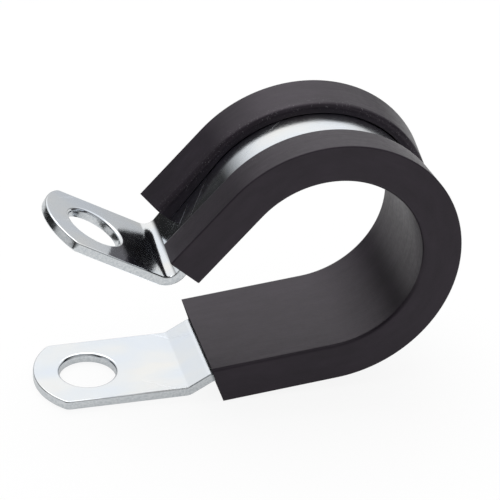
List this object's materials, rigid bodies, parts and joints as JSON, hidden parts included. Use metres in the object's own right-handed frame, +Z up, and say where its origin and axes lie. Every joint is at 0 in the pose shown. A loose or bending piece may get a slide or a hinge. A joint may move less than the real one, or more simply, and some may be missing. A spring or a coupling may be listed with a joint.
{
  "type": "p clip",
  "caption": "Rubber-lined steel clip that wraps round a pipe or cable and is fixed by one screw through both of its lugs; shown open, as supplied.",
  "frame": {"origin": "centre of the lower lug's hole, on the lug's underside", "axes": "+Z up from the lower lug's underside, against the lower hole's axis, which points down, the way its screw leaves, +X along the strap from that lug toward the loop, +Y along the axis of the loop"},
  "size_m": [0.0513, 0.0166, 0.0346],
  "materials": {
    "strap": "bright zinc plate",
    "liner": "satin black"
  },
  "bodies": {
    "root": {"strap": "strap", "liner": "liner"}
  },
  "joints": []
}
